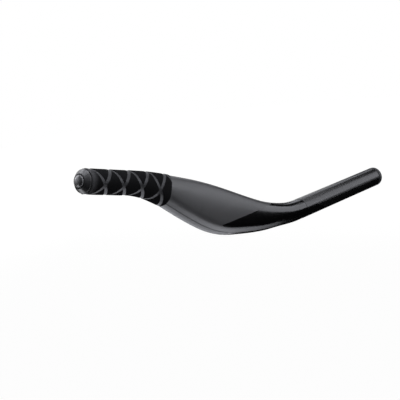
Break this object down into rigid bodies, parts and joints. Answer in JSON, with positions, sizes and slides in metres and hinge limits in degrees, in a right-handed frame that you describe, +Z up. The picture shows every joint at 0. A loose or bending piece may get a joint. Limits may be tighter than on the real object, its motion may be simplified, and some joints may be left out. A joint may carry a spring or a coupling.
{
  "type": "aero handlebar extension",
  "caption": "S-bent aero handlebar extension: round clamp tube rising into a deep flared palm section, latticed rubber grip and a cone nose with a sprung push button",
  "frame": {"origin": "on the clamp tube's axis at the middle of its straight clamping length", "axes": "+X forward along the clamp tube toward the nose, +Y to the rider's left, +Z up"},
  "size_m": [0.4845, 0.0238, 0.1209],
  "materials": {
    "laminate": "satin-lacquered black fibre laminate",
    "grip_rubber": "matte moulded pads between grey grooves",
    "nose_plastic": "satin black",
    "button_plastic": "satin black",
    "seal_rubber": "smooth",
    "spring_steel": "bright wire",
    "switch_plastic": "moulded",
    "board_laminate": "green solder mask",
    "inner_plastic": "moulded",
    "plug_rubber": "satin moulded"
  },
  "bodies": {
    "extension": {"extension_tube": "laminate", "grip_sleeve": "grip_rubber", "nose_housing": "nose_plastic", "shank_oring_front": "seal_rubber", "shank_oring_rear": "seal_rubber", "return_spring": "spring_steel", "tact_switch": "switch_plastic", "circuit_board": "board_laminate", "board_spacer": "inner_plastic", "back_cap": "inner_plastic", "rear_plug": "plug_rubber"},
    "button": {"push_button": "button_plastic", "button_oring": "seal_rubber", "retaining_clip": "spring_steel"}
  },
  "joints": [
    {"name": "button_press", "type": "slide", "parent": "extension", "child": "button", "axis": [-0.9703, 0, -0.2419], "range_m": [0, 0.0012], "stiffness_N_per_m": 1200, "springref_m": -0.0008, "deforming": ["return_spring"]}
  ]
}
